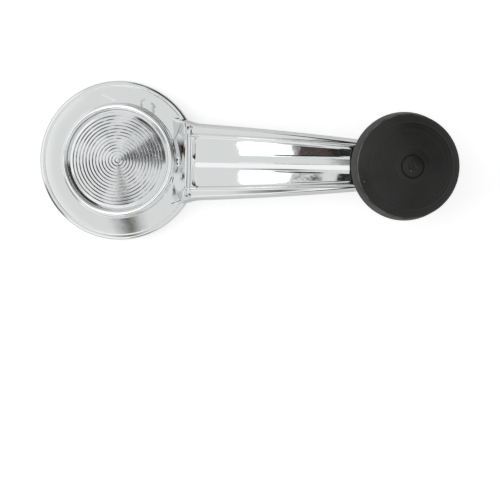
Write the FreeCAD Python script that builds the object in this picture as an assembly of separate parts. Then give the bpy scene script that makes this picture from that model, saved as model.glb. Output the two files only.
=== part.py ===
import FreeCAD, Part
import math
import os

# Car window winder handle: a plated die-cast crank with a grooved hub disc,
# a free-turning knob on a shoulder rivet, and a spring clip for the shaft.
# Millimetres. The origin is on the shaft axis at the mouth of the socket,
# +Z points away from the door, and the arm runs along +X to the knob.

V = FreeCAD.Vector

# Crank as a whole
crank_throw = 100.0           # shaft axis to knob axis
overrun = 2.0                 # how far every cutting tool runs past the metal

# Hub flange, from the outer edge inwards
flange_radius = 28.2
flange_back = 4.0             # height of the flange's back edge above the mouth
flange_land = 1.3             # upright edge of the flange
flange_round = 1.9            # width of the rounded band inside the edge
flange_round_rise = 1.2
cone_width = 6.2              # sloping part of the flange, from its round to the drum
cone_rise = 1.5               # climb over that width
flange_wall = 1.7
flange_lip = 1.9              # radial width of the back edge

# Raised drum in the middle of the hub
drum_draft = 0.35             # how much narrower the drum is at its top
drum_height = 6.2             # above the inner edge of the flange cone
drum_wall = 1.9
ridge_width = 2.0             # rounded ridge that rings the disc
ridge_rise = 0.7
recess_depth = 1.6            # seat of the disc below the foot of the ridge
disc_gap = 0.12               # radial gap that shows as the dark line

# Grooved disc pressed into the drum
disc_edge = 1.1               # thickness where the grooves start
disc_rim = 1.9                # plain band outside the grooves
disc_rim_fall = 0.73          # the band slopes down this much to its edge
disc_rings = 14
ring_depth = 0.28
ring_slope_share = 0.8        # part of the pitch taken by the long slope
disc_bowl = 0.35              # the grooved field sinks this much to the middle

# Socket for the regulator shaft
boss_radius = 8.5
pilot_radius = 5.05
pilot_length = 2.5
serration_count = 24
serration_depth = 0.4
socket_depth = 11.2
rib_count = 6
rib_thickness = 1.5
rib_clearance = 0.8           # ribs stop this far above the clip

# Spring clip across the socket
clip_thickness = 1.0
clip_width = 2.0
clip_grip = 4.7               # half the gap between the legs
clip_leg = 7.4                # legs reach this far past the shaft axis
clip_flare = 2.6              # length of the turned-out tips
clip_flare_angle = 35.0
clip_slot_clearance = 0.15

# Arm: crest line, a single arch that runs out straight under the knob
crest_reach = 3.9             # head of the end face, outside the foot of the drum
crest_height = 15.4           # crest above the mouth at that place
arch_start_slope = 11.0       # degrees
arch_end_slope = -8.0         # degrees, also the lean of the knob
arch_radius = 188.0

# Arm: plan and cross section
arm_root_half = 13.5          # half width where the root flare has died out
arm_tip_half = 7.7
arm_flare = 2.0               # extra half width at the hub
arm_flare_length = 11.0       # from the arm's start to where the flare has died out
arm_root_depth = 10.2         # crest down to the bottom edge, at the hub
arm_tip_depth = 7.4
arm_wall = 1.7
arm_roof = 1.8                # metal left under the flutes
arm_side_draft = 0.9
spine_half = 0.15             # half the narrow top of the central rib
spine_side = 2.0              # width of each of its two sloping faces
flank = 0.45                  # width of each sloping side of a border ridge
flute_depth = 0.95
border_drop = 0.3             # border ridge below the central rib
border_width = 0.55
band_step = 0.5               # outer band below the border ridge
band_fall = 0.4               # the band slopes down this much to its shoulder
shoulder = 0.45
shoulder_fall = 0.8
end_border = 2.1              # width of the raised border across the arm
end_inset = 1.0               # foot of the sloping end face, inside the foot of the drum
end_ball_radius = 1.1         # small balls at the two ends of that border
end_ball_inset = 0.7          # their middles inside the arm's side
end_ball_drop = 1.0           # and below the crest
flute_outer_share = 0.63      # outer edge of a flute across the half width
arm_bulge_share = 0.085       # bow of the arm's sides, of its change in half width
arm_stations = 25             # sections that the arm is lofted through
stiffener = 1.5               # thickness of the rib inside the arm
stiffener_drop = 3.0          # the rib stops this far inside the open side

# Knob seat and rivet, measured along the knob axis from the crest
pad_radius = 7.3
pad_height = 0.8
tip_boss_radius = 6.4
tip_boss_depth = 5.6
tail_radius = 2.5
tail_clearance = 0.03
tail_head_radius = 4.2
tail_head_height = 1.0
shoulder_radius = 3.3
bearing_clearance = 0.06
rivet_head_radius = 5.6
rivet_head_height = 1.9

# Washers
washer_radius = 6.2
washer_thickness = 0.8
washer_clearance = 0.06
spring_radius = 6.4
spring_thickness = 0.35
spring_rise = 0.4
spring_bore = 3.45
axial_play = 0.3

# Knob body
knob_radius = 19.0
knob_lift = 0.9               # underside of the knob above the crest
knob_wall_height = 6.2
knob_taper = 0.85             # the wall is this much narrower at its top
knob_edge_round = 0.7
knob_wall = 2.2
knob_floor = 2.1
knob_hub_radius = 7.2
knob_hub_height = 4.6
seat_recess_radius = 8.0
seat_recess_depth = 0.9
cap_seat_width = 1.0
cap_seat_depth = 1.2
cap_gap = 0.06

# Knob cap
cap_edge_step = 0.12          # the cap's edge stands this far inside the wall
cap_edge_height = 0.5
dome_height = 7.6
dome_wall = 2.2
button_radius = 3.9           # low button in the middle, as high as the dome
button_groove = 0.6           # depth of the groove round it
button_lip = 0.35             # width of the groove's outer wall
cap_ridge_radius = 15.0       # middle of the low ridge inside the smooth brim
cap_ridge_width = 1.0
cap_ridge_rise = 0.12
cap_ring_outer = 13.1         # the fine rings run from here inwards
cap_ring_inner = 5.7
cap_ring_count = 10
cap_ring_depth = 0.12
cap_skirt_wall = 1.5

# Places that follow from the sizes
cone_outer_z = flange_back + flange_land + flange_round_rise
cone_inner_z = cone_outer_z + cone_rise
cone_outer_r = flange_radius - flange_round
drum_radius = cone_outer_r - cone_width
crest_start = drum_radius + crest_reach
end_base = drum_radius - end_inset
drum_top_r = drum_radius - drum_draft
ridge_foot_z = cone_inner_z + drum_height
recess_radius = drum_top_r - ridge_width
seat_z = ridge_foot_z - recess_depth
disc_radius = recess_radius - disc_gap
arm_start = end_base - overrun       # cut back to the end face afterwards
slot_near = clip_grip - clip_slot_clearance
slot_low = pilot_length
slot_high = slot_low + clip_thickness + 2 * clip_slot_clearance
lean = math.radians(-arch_end_slope)
knob_axis = V(math.sin(lean), 0, math.cos(lean))
bearing_top = knob_lift + knob_hub_height
wall_top = knob_lift + knob_wall_height
cap_seat_r = knob_radius - knob_taper - cap_seat_width
cap_edge_r = knob_radius - knob_taper - cap_edge_step
cap_foot = wall_top + cap_edge_height
above_all = crest_height + crank_throw * math.tan(math.radians(arch_start_slope))
round_share = 1 - math.sqrt(1 / 2)   # a quarter round's middle, off its corner


def crest_point(x):
    """Height and slope of the crest line above the place x along the arm."""
    first = math.radians(arch_start_slope)
    last = math.radians(arch_end_slope)
    last_x = crest_start + arch_radius * (math.sin(first) - math.sin(last))
    slope = math.asin(math.sin(first) - (min(x, last_x) - crest_start) / arch_radius)
    z = crest_height + arch_radius * (math.cos(slope) - math.cos(first))
    z += max(x - last_x, 0) * math.tan(last)
    return z, slope


knob_seat = V(crank_throw, 0, crest_point(crank_throw)[0])


def wire_through(start, steps):
    """Closed wire from start; a step is a point, or a pair of points for an arc."""
    edges = []
    here = start
    for step in steps:
        if isinstance(step, tuple):
            edges.append(Part.Arc(here, step[0], step[1]).toShape())
            here = step[1]
        else:
            edges.append(Part.LineSegment(here, step).toShape())
            here = step
    edges.append(Part.LineSegment(here, start).toShape())
    return Part.Wire(edges)


def turned(start, steps):
    """Solid of revolution about Z from a closed profile in the XZ plane."""
    face = Part.Face(wire_through(start, steps))
    return face.revolve(V(0, 0, 0), V(0, 0, 1), 360)


def ball_arc(edge_r, edge_z, height):
    """Arc from a rim to the axis, part of a ball whose centre is on the axis."""
    ball = (edge_r ** 2 + height ** 2) / (2 * abs(height))
    half_r = edge_r / 2
    rise = math.sqrt(ball ** 2 - half_r ** 2) - (ball - abs(height))
    return V(half_r, 0, edge_z + math.copysign(rise, height)), V(0, 0, edge_z + height)


def ring(inner, outer, low, high):
    """Plain annular solid about Z."""
    return turned(V(inner, 0, low), [V(outer, 0, low), V(outer, 0, high), V(inner, 0, high)])


def block(x0, x1, y0, y1, z0, z1):
    """Box between two corners."""
    return Part.makeBox(x1 - x0, y1 - y0, z1 - z0, V(x0, y0, z0))


def joined(first, others):
    """Fused solid with its seams cleaned."""
    return first.fuse(others).removeSplitter()


def on_knob_axis(shape):
    """Moves a shape made about Z onto the leaning knob axis at the crest."""
    moved = shape.copy()
    moved.rotate(V(0, 0, 0), V(0, 1, 0), math.degrees(lean))
    moved.translate(knob_seat)
    return moved


def save(shape, name):
    """Writes one node and prints its size for the log."""
    shape.exportStep("parts/" + name + ".step")
    print(name, len(shape.Solids), "solid", round(shape.Volume, 1), "mm3", shape.isValid())


def hub_body():
    """Flange, drum and socket boss, turned as one profile, before any cuts."""
    ridge_mid = (drum_top_r + recess_radius) / 2
    round_mid = V(flange_radius - flange_round * round_share, 0,
                  cone_outer_z - flange_round_rise * round_share)
    pocket_r = drum_top_r - drum_wall
    pocket_top = seat_z - flange_wall
    return turned(V(0, 0, 0), [
        V(boss_radius, 0, 0),
        V(boss_radius, 0, pocket_top),
        V(pocket_r, 0, pocket_top),
        V(pocket_r, 0, cone_inner_z - flange_wall),
        V(flange_radius - flange_lip, 0, cone_outer_z - flange_wall),
        V(flange_radius - flange_lip, 0, flange_back),
        V(flange_radius, 0, flange_back),
        V(flange_radius, 0, flange_back + flange_land),
        (round_mid, V(cone_outer_r, 0, cone_outer_z)),
        V(drum_radius, 0, cone_inner_z),
        V(drum_top_r, 0, ridge_foot_z),
        (V(ridge_mid, 0, ridge_foot_z + ridge_rise), V(recess_radius, 0, ridge_foot_z)),
        V(recess_radius, 0, seat_z),
        V(0, 0, seat_z),
    ])


def hub_ribs():
    """Radial ribs behind the hub, between the boss and the drum wall."""
    low = slot_high + rib_clearance
    reach = drum_top_r - drum_wall / 2
    ribs = []
    for n in range(rib_count):
        rib = block(boss_radius / 2, reach, -rib_thickness / 2, rib_thickness / 2, low, seat_z)
        rib.rotate(V(0, 0, 0), V(0, 0, 1), 360 * (n + 1 / 2) / rib_count)
        ribs.append(rib)
    return ribs


def socket_tools():
    """Pilot bore, serrated bore and the two slots for the clip's legs."""
    pilot = Part.makeCylinder(pilot_radius, pilot_length + overrun, V(0, 0, -overrun))
    points = []
    for n in range(2 * serration_count):
        angle = math.pi * n / serration_count
        radius = pilot_radius - serration_depth * (n % 2)
        points.append(V(radius * math.cos(angle), radius * math.sin(angle), 0))
    points.append(points[0])
    teeth = Part.Face(Part.makePolygon(points)).extrude(V(0, 0, socket_depth))
    far = boss_radius + overrun
    slots = [
        block(-far, far, slot_near, far, slot_low, slot_high),
        block(-far, far, -far, -slot_near, slot_low, slot_high),
    ]
    return [pilot, teeth] + slots


def arm_sizes(x):
    """Half width, without the flare, and depth of the arm above the place x."""
    along = (x - flange_radius) / (crank_throw - flange_radius)
    taper = arm_root_half + (arm_tip_half - arm_root_half) * along
    bulge = (arm_root_half - arm_tip_half) * 4 * arm_bulge_share * along * (1 - along)
    depth = arm_root_depth + (arm_tip_depth - arm_root_depth) * x / crank_throw
    return taper + bulge, depth


def root_flare(x):
    """Extra half width towards the hub, falling by half a cosine wave to nothing."""
    away = (x - arm_start) / arm_flare_length
    return arm_flare * (1 + math.cos(math.pi * min(max(away, 0), 1))) / 2


def stations(start, end):
    """Evenly spaced places along the arm."""
    step = (end - start) / (arm_stations - 1)
    return [start + n * step for n in range(arm_stations)]


def flute_section(half):
    """Section of the tool that cuts the right flute, as (across, height)."""
    flute_out = half * flute_outer_share
    ridge_out = flute_out + flank + border_width
    inner = spine_half / 2
    return [
        (inner, overrun),
        (inner, inner * flute_depth / spine_side),
        (spine_half + spine_side, -flute_depth),
        (flute_out, -flute_depth - border_drop / 2),
        (flute_out + flank, -border_drop),
        (ridge_out + flank, -border_drop),
        (ridge_out + flank, overrun),
    ]


def outer_half_section(half, depth, flare):
    """Right half of the arm's section without its flutes, as (across, height)."""
    foot = half + flare
    ridge_out = half * flute_outer_share + flank + border_width
    band = border_drop + band_step
    return [
        (ridge_out - border_drop * flank / band_step, 0),
        (ridge_out + flank, -band),
        (foot - arm_side_draft - shoulder, -band - band_fall),
        (foot - arm_side_draft, -band - band_fall - shoulder_fall),
        (foot, -depth),
    ]


def inner_half_section(half, depth):
    """Right half of the hollow under the arm, as (across, height)."""
    roof = flute_depth + arm_roof
    inside = half - arm_side_draft - arm_wall
    return [
        (inside - shoulder, -roof),
        (inside, -roof - shoulder_fall),
        (half - arm_wall, -depth - overrun),
    ]


def section_wire(x, points):
    """Closed wire of a section given as (across, height), square to the crest at x."""
    z, slope = crest_point(x)
    up = V(-math.sin(slope), 0, math.cos(slope))
    corners = [V(x, y, z) + up * w for y, w in points]
    return Part.makePolygon(corners + [corners[0]])


def mirrored(halfs):
    """Whole section from its right half."""
    return halfs + [(-y, w) for y, w in reversed(halfs)]


def arm_loft():
    """Outer form of the arm without its flutes, lofted through its stations."""
    wires = []
    for x in stations(arm_start, crank_throw):
        half, depth = arm_sizes(x)
        wires.append(section_wire(x, mirrored(outer_half_section(half, depth, root_flare(x)))))
    return Part.makeLoft(wires, True, False)


def flute_tool(side):
    """Tool for one flute, from the border at the root to under the knob's pad."""
    wires = []
    for x in stations(crest_start + end_border, crank_throw - tip_boss_radius / 2):
        points = [(side * y, w) for y, w in flute_section(arm_sizes(x)[0])]
        wires.append(section_wire(x, points))
    return Part.makeLoft(wires, True, False)


def arm_hollow():
    """Hollow under the arm, from the flange to the boss under the knob."""
    wires = []
    for x in stations(flange_radius + arm_wall, crank_throw):
        half, depth = arm_sizes(x)
        wires.append(section_wire(x, mirrored(inner_half_section(half, depth))))
    return Part.makeLoft(wires, True, False)


def arm_end(halfs):
    """Half-round end of a section, turned about the knob axis."""
    points = [V(0, y, w) for y, w in halfs]
    top = V(0, 0, halfs[0][1])
    bottom = V(0, 0, halfs[-1][1])
    face = Part.Face(Part.makePolygon([top] + points + [bottom, top]))
    return on_knob_axis(face.revolve(V(0, 0, 0), V(0, 0, 1), -180))


def arm_end_trim():
    """Wedge that cuts the sloping end face towards the hub."""
    foot = V(end_base, 0, cone_inner_z)
    head = V(crest_start, 0, crest_height + border_drop)
    rise = head - foot
    above = foot + rise * 2
    below = foot - rise
    far = V(-crank_throw, 0, 0)
    face = Part.Face(Part.makePolygon([below, above, above + far, below + far, below]))
    wide = 2 * arm_root_half
    face.translate(V(0, -wide, 0))
    return face.extrude(V(0, 2 * wide, 0))


def root_pocket():
    """Core behind the root of the arm, inside the flange's back edge."""
    near = end_base + arm_wall
    far = flange_radius - flange_lip
    low = flange_back - overrun
    high = crest_height - flute_depth - arm_roof - border_drop
    face = Part.Face(Part.makePolygon([
        V(near, 0, low), V(far, 0, low), V(far, 0, high), V(crest_start, 0, high),
        V(near, 0, cone_inner_z), V(near, 0, low)]))
    wide = arm_root_half * flute_outer_share
    face.translate(V(0, -wide, 0))
    return face.extrude(V(0, 2 * wide, 0))


def under_flange():
    """Space inside and under the hub that the arm must not fill."""
    skin = flange_wall / 2
    drum = Part.makeCylinder(drum_top_r - drum_wall / 2, above_all)
    cone = turned(V(0, 0, 0), [
        V(flange_radius, 0, 0),
        V(flange_radius, 0, flange_back),
        V(cone_outer_r, 0, cone_outer_z - skin),
        V(drum_radius, 0, cone_inner_z - skin),
        V(0, 0, cone_inner_z - skin),
    ])
    return [drum, cone]


def make_arm():
    """The arm alone: half-round tip, flutes that stop at the root's border, hollow."""
    half, depth = arm_sizes(crank_throw)
    arm = arm_loft().fuse(arm_end(outer_half_section(half, depth, 0)))
    hollow_tip = arm_end(inner_half_section(half, depth))
    tools = [flute_tool(1), flute_tool(-1), arm_end_trim(), arm_hollow(), hollow_tip]
    return arm.cut(tools + under_flange())


def end_balls():
    """Two small balls, half sunk in the arm, at the ends of the border."""
    x = crest_start + end_border / 2
    y = arm_root_half - arm_side_draft - end_ball_inset
    z = crest_point(x)[0] - end_ball_drop
    return [Part.makeSphere(end_ball_radius, V(x, side, z)) for side in (y, -y)]


def make_casting():
    """The plated crank: hub, arm, knob seat and socket in one casting."""
    skin = flute_depth + arm_roof / 2
    boss = Part.makeCylinder(tip_boss_radius, tip_boss_depth, V(0, 0, -tip_boss_depth))
    pad = Part.makeCylinder(pad_radius, pad_height + skin, V(0, 0, -skin))
    tail_bore = Part.makeCylinder(tail_radius + tail_clearance,
                                  tip_boss_depth + pad_height + 2 * overrun,
                                  V(0, 0, -tip_boss_depth - overrun))
    pieces = [make_arm(), arm_stiffener(), on_knob_axis(boss), on_knob_axis(pad)]
    casting = joined(hub_body(), pieces + end_balls() + hub_ribs())
    return casting.cut(socket_tools() + [root_pocket(), on_knob_axis(tail_bore)])


def arm_stiffener():
    """Long rib in the hollow of the arm, clear of the open side."""
    rib = block(flange_radius + arm_wall / 2, crank_throw - tip_boss_radius / 2,
                -stiffener / 2, stiffener / 2, 0, above_all)
    wires = []
    for x in stations(end_base, crank_throw):
        half, depth = arm_sizes(x)
        low = -depth + stiffener_drop
        halfs = [(half, -flute_depth - arm_roof / 2), (half, low)]
        wires.append(section_wire(x, mirrored(halfs)))
    return rib.common(Part.makeLoft(wires, True, False))


def make_disc():
    """Grooved disc: saw-tooth rings that sink gently to a small centre dot."""
    field = disc_radius - disc_rim
    pitch = field / disc_rings
    top = seat_z + disc_edge
    steps = [V(disc_radius, 0, seat_z), V(disc_radius, 0, top - disc_rim_fall), V(field, 0, top)]
    for n in range(disc_rings):
        outer = field - n * pitch
        sink = disc_bowl * (1 - (outer / field) ** 2)
        foot = max(outer - pitch * (1 - ring_slope_share), 0)
        steps.append(V(foot, 0, top - sink - ring_depth))
        steps.append(V(max(outer - pitch, 0), 0, top - sink))
    return turned(V(0, 0, seat_z), steps)


def across(point):
    """The same point on the other side of the arm's middle plane."""
    return V(point.x, -point.y, point.z)


def make_clip():
    """Horseshoe spring: a round bow, straight legs and turned-out tips."""
    inner = clip_grip
    outer = clip_grip + clip_width
    back = -math.sqrt(boss_radius ** 2 - slot_near ** 2)
    turn = math.radians(clip_flare_angle)
    tip = V(clip_flare * math.cos(turn), clip_flare * math.sin(turn), 0)
    side = V(-clip_width * math.sin(turn), clip_width * math.cos(turn), 0)
    leg_in = V(clip_leg, inner, 0)
    leg_out = V(clip_leg - clip_width * math.tan(turn / 2), outer, 0)
    flare_in = leg_in + tip
    flare_out = flare_in + side
    wire = wire_through(leg_in, [
        flare_in, flare_out, leg_out,
        V(back, outer, 0),
        (V(back - outer, 0, 0), V(back, -outer, 0)),
        across(leg_out), across(flare_out), across(flare_in), across(leg_in),
        V(back, -inner, 0),
        (V(back - inner, 0, 0), V(back, inner, 0)),
    ])
    face = Part.Face(wire)
    face.translate(V(0, 0, slot_low + clip_slot_clearance))
    return face.extrude(V(0, 0, clip_thickness))


def make_rivet():
    """Shoulder rivet: domed head, bearing shoulder, tail staked behind the arm."""
    head_low = bearing_top + axial_play + washer_thickness
    low = -tip_boss_depth
    profile = turned(V(0, 0, low - tail_head_height), [
        V(tail_head_radius - tail_head_height / 2, 0, low - tail_head_height),
        V(tail_head_radius, 0, low - tail_head_height / 2),
        V(tail_head_radius, 0, low),
        V(tail_radius, 0, low),
        V(tail_radius, 0, pad_height),
        V(shoulder_radius, 0, pad_height),
        V(shoulder_radius, 0, head_low),
        V(rivet_head_radius, 0, head_low),
        ball_arc(rivet_head_radius, head_low, rivet_head_height),
    ])
    return on_knob_axis(profile)


def make_washer():
    """Flat washer held under the rivet head."""
    low = bearing_top + axial_play
    return on_knob_axis(ring(shoulder_radius + washer_clearance, washer_radius,
                             low, low + washer_thickness))


def make_spring():
    """Dished spring washer between the arm's pad and the knob."""
    low = pad_height
    return on_knob_axis(turned(V(spring_radius, 0, low), [
        V(spring_radius, 0, low + spring_thickness),
        V(spring_bore, 0, low + spring_thickness + spring_rise),
        V(spring_bore, 0, low + spring_rise),
    ]))


def make_knob_body():
    """Knob body: tapered wall, floor and bearing hub, open at the top."""
    low = knob_lift
    wall_in = knob_radius - knob_taper - knob_wall
    corner = knob_edge_round * round_share
    bore = shoulder_radius + bearing_clearance
    spring_top = low + seat_recess_depth
    return on_knob_axis(turned(V(bore, 0, spring_top), [
        V(seat_recess_radius, 0, spring_top),
        V(seat_recess_radius, 0, low),
        V(knob_radius - knob_edge_round, 0, low),
        (V(knob_radius - corner, 0, low + corner), V(knob_radius, 0, low + knob_edge_round)),
        V(knob_radius - knob_taper, 0, wall_top),
        V(cap_seat_r, 0, wall_top),
        V(cap_seat_r, 0, wall_top - cap_seat_depth),
        V(wall_in, 0, wall_top - cap_seat_depth),
        V(wall_in, 0, low + knob_floor),
        V(knob_hub_radius, 0, low + knob_floor),
        V(knob_hub_radius, 0, bearing_top),
        V(bore, 0, bearing_top),
    ]))


def dome_at(radius):
    """Height of the cap's dome, part of a ball on the knob axis, at that radius."""
    ball = (cap_edge_r ** 2 + dome_height ** 2) / (2 * dome_height)
    return cap_foot + math.sqrt(ball ** 2 - radius ** 2) - (ball - dome_height)


def dome_arc(outer, inner, rise):
    """Arc step inwards along the dome, its middle raised or sunk by rise."""
    middle = (outer + inner) / 2
    return V(middle, 0, dome_at(middle) + rise), V(inner, 0, dome_at(inner))


def make_knob_cap():
    """Domed cap: brim with a low ridge, fine rings, a button and a hidden skirt."""
    skirt_r = cap_seat_r - cap_gap
    skirt_low = wall_top - cap_seat_depth
    pitch = (cap_ring_outer - cap_ring_inner) / cap_ring_count
    ridge_out = cap_ridge_radius + cap_ridge_width / 2
    ridge_in = cap_ridge_radius - cap_ridge_width / 2
    steps = [
        V(skirt_r, 0, skirt_low),
        V(skirt_r, 0, wall_top),
        V(cap_edge_r, 0, wall_top),
        V(cap_edge_r, 0, cap_foot),
        dome_arc(cap_edge_r, ridge_out, 0),
        dome_arc(ridge_out, ridge_in, cap_ridge_rise),
        dome_arc(ridge_in, cap_ring_outer, 0),
    ]
    for n in range(cap_ring_count):
        outer = cap_ring_outer - n * pitch
        steps.append(dome_arc(outer, outer - pitch, -cap_ring_depth))
    groove_z = dome_at(button_radius) - button_groove
    steps.append(dome_arc(cap_ring_inner, button_radius + button_lip, 0))
    steps.append(V(button_radius, 0, groove_z))
    steps.append(ball_arc(button_radius, groove_z, dome_at(0) - groove_z))
    inner_r = skirt_r - cap_skirt_wall
    middle, peak = ball_arc(inner_r, wall_top, dome_at(0) - dome_wall - wall_top)
    steps.append(peak)
    steps.append((middle, V(inner_r, 0, wall_top)))
    return on_knob_axis(turned(V(inner_r, 0, skirt_low), steps))


def main():
    os.makedirs("parts", exist_ok=True)
    save(make_casting(), "crank_casting")
    save(make_disc(), "hub_disc")
    save(make_clip(), "shaft_clip")
    save(make_rivet(), "knob_rivet")
    save(make_spring(), "spring_washer")
    save(make_washer(), "head_washer")
    save(make_knob_body(), "knob_body")
    save(make_knob_cap(), "knob_cap")
    print("knob seat", knob_seat, "axis", knob_axis)


main()
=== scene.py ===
"""Looks of a car window winder handle: chrome crank, grooved hub disc and black knob.

Lengths in this file are millimetres, as in the part's source, until `piece`
writes them into a mesh in metres.  The origin is the mouth of the shaft socket,
+Z points away from the door and the arm runs along +X.
"""
import bmesh
import bpy
import math
import numpy as np
from mathutils import Matrix, Vector


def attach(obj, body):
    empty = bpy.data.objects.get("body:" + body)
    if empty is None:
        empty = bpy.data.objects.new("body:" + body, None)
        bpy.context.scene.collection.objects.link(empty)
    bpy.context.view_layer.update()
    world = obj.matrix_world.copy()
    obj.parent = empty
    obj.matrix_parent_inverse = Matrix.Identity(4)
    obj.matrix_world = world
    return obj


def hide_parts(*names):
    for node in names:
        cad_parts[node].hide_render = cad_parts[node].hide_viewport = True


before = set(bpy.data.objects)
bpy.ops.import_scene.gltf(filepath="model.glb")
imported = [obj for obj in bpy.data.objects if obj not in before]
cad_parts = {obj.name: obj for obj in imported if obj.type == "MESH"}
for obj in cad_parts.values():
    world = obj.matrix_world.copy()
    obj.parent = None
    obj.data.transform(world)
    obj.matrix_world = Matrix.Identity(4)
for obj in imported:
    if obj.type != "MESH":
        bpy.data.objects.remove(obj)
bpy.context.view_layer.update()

MM = 0.001

# Sizes shared with the part's source
crank_throw = 100.0
flange_radius = 28.2
flange_back = 4.0
flange_land = 1.3
flange_round = 1.9
flange_round_rise = 1.2
cone_width = 6.2
cone_rise = 1.5
flange_wall = 1.7
flange_lip = 1.9
drum_draft = 0.35
drum_height = 6.2
drum_wall = 1.9
ridge_width = 2.0
ridge_rise = 0.7
recess_depth = 1.6
disc_gap = 0.12
disc_edge = 1.1
disc_rim = 1.9
disc_rim_fall = 0.73
disc_rings = 14
ring_depth = 0.28
disc_bowl = 0.35
boss_radius = 8.5
pilot_radius = 5.05
pilot_length = 2.5
serration_count = 24
serration_depth = 0.4
socket_depth = 11.2
rib_count = 6
rib_thickness = 1.5
rib_clearance = 0.8
clip_thickness = 1.0
clip_width = 2.0
clip_grip = 4.7
clip_leg = 7.4
clip_flare = 2.6
clip_flare_angle = 35.0
clip_slot_clearance = 0.15
crest_reach = 3.9
crest_height = 15.4
arch_start_slope = 11.0
arch_end_slope = -8.0
arch_radius = 188.0
arm_root_half = 13.5
arm_tip_half = 7.7
arm_flare = 2.0
arm_flare_length = 11.0
arm_root_depth = 10.2
arm_tip_depth = 7.4
arm_wall = 1.7
arm_roof = 1.8
arm_side_draft = 0.9
arm_bulge_share = 0.085
spine_half = 0.15
spine_side = 2.0
flank = 0.45
flute_depth = 0.95
flute_outer_share = 0.63
border_drop = 0.3
border_width = 0.55
band_step = 0.5
band_fall = 0.4
shoulder = 0.45
shoulder_fall = 0.8
end_border = 2.1
end_inset = 1.0
end_ball_radius = 1.1
end_ball_inset = 0.7
end_ball_drop = 1.0
stiffener = 1.5
stiffener_drop = 3.0
overrun = 2.0
pad_radius = 7.3
pad_height = 0.8
tip_boss_radius = 6.4
tip_boss_depth = 5.6
tail_radius = 2.5
tail_clearance = 0.03
tail_head_radius = 4.2
tail_head_height = 1.0
shoulder_radius = 3.3
bearing_clearance = 0.06
rivet_head_radius = 5.6
rivet_head_height = 1.9
washer_thickness = 0.8
axial_play = 0.3
knob_radius = 19.0
knob_lift = 0.9
knob_wall_height = 6.2
knob_taper = 0.85
knob_edge_round = 0.7
knob_wall = 2.2
knob_floor = 2.1
knob_hub_radius = 7.2
knob_hub_height = 4.6
seat_recess_radius = 8.0
seat_recess_depth = 0.9
cap_seat_width = 1.0
cap_seat_depth = 1.2
cap_gap = 0.06
cap_edge_step = 0.12
cap_edge_height = 0.5
dome_height = 7.6
dome_wall = 2.2
button_radius = 3.9
button_groove = 0.6
button_lip = 0.35
cap_skirt_wall = 1.5
cap_ridge_radius = 15.0
cap_ridge_width = 1.0
cap_ridge_rise = 0.12
cap_ring_outer = 13.1
cap_ring_inner = 5.7
cap_ring_count = 10
cap_ring_depth = 0.12

# Places that follow from them
cone_outer_z = flange_back + flange_land + flange_round_rise
cone_inner_z = cone_outer_z + cone_rise
cone_outer_r = flange_radius - flange_round
drum_radius = cone_outer_r - cone_width
crest_start = drum_radius + crest_reach
end_base = drum_radius - end_inset
arm_start = end_base - overrun
hollow_start = flange_radius + arm_wall
drum_top_r = drum_radius - drum_draft
ridge_foot_z = cone_inner_z + drum_height
recess_radius = drum_top_r - ridge_width
seat_z = ridge_foot_z - recess_depth
disc_radius = recess_radius - disc_gap
slot_near = clip_grip - clip_slot_clearance
slot_high = pilot_length + clip_thickness + 2 * clip_slot_clearance
tail_bore = tail_radius + tail_clearance
lean = math.radians(-arch_end_slope)
wall_top = knob_lift + knob_wall_height
bearing_top = knob_lift + knob_hub_height
cap_edge_r = knob_radius - knob_taper - cap_edge_step
cap_seat_r = knob_radius - knob_taper - cap_seat_width
cap_foot = wall_top + cap_edge_height

# Finer than the source: soft edges, small lips and marks of the real pieces.
# The last two numbers of a corner row are the lengths that its rounding takes.
turn_places = 288             # places round a turned piece, 12 to each serration
crease_angle = math.radians(40)
bead_step = 0.14              # the flange's edge stands this far above its cone
bead_inset = 0.1              # its foot is this far inside the cone's edge
bead_width = 0.22
bead_fall = 0.22              # its outer corner is this much lower
cone_swell = 0.05
serration_lead = 0.3          # the serrations reach their depth over this length
rib_bite = 0.5                # the ribs run this far into the drum and its roof
rib_root = 1.0                # and this far into the boss
rib_round = 0.35
fillet_reach = 1.7            # cast fillet between the drum and the arm's end face
fillet_rise = 1.3
fillet_stop = 1.0             # it ends this far below the foot of the ridge
face_round = 0.75
face_middle_share = 0.55      # middle of the end face, down from its head
root_end = 28.0               # the arm's sections are fanned up to this place
rail_step = 0.4               # and stand this far apart beyond the hollow's start
rail_middle = 90.0
rail_nudge = 0.02             # the hollow starts over this short length
flute_turn_in = 0.6           # how far the corners of a flute's start hang back
flute_turn_out = 1.2
flute_ramp = 1.3              # length of the ramp at a flute's start
flute_end = 91.5              # where it runs out again, under the knob's pad
flute_end_ramp = 2.0
bar_reach = 0.62              # low bar along the border, half its width
bar_rise = 0.16
bar_fill_share = 0.45
bar_fade = 0.5
bar_depth = 4.0               # only the top of the arm carries it
skin_inset = 0.2              # edge of the flange's metal, in from its radius
skin_fall = 0.6
disc_play = 0.02              # back of the disc above its seat
ring_wall_share = 0.24        # steep wall of a ring of the disc, of its pitch
strip_round = 0.25            # soft edge and end of the clip's strip
tip_inset = 0.5
dimple_radius = 1.1           # middle of the staked tail
dimple_depth = 0.12
head_side_share = 0.55        # upright part of the rivet's head
head_flat = 2.4
dome_inset = 0.35             # the dome's curve stops this far inside the cap's edge
dome_step = 0.055             # spacing of the points on the dome
brim_inset = 0.22
brim_fall = 0.06
brim_swell = 0.02
brim_rise = 0.12
cap_lip = 0.06                # faint raised lip round the groove of the button
cap_lip_width = 0.2
hollow_shares = (0.66, 0.33)  # inside of the cap: places across its skirt
hollow_falls = (2.6, 0.6)     # and how far the roof has come down there
gate_place = (-0.25, -0.2)    # gate mark in the button
gate_radius = 1.1
gate_wavers = (0.22, 0.16)
gate_depth = 0.42
nub_rise = 0.3
nub_share = 0.45
slot_reach = 12.0             # the cuts for the clip run out to here
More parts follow.
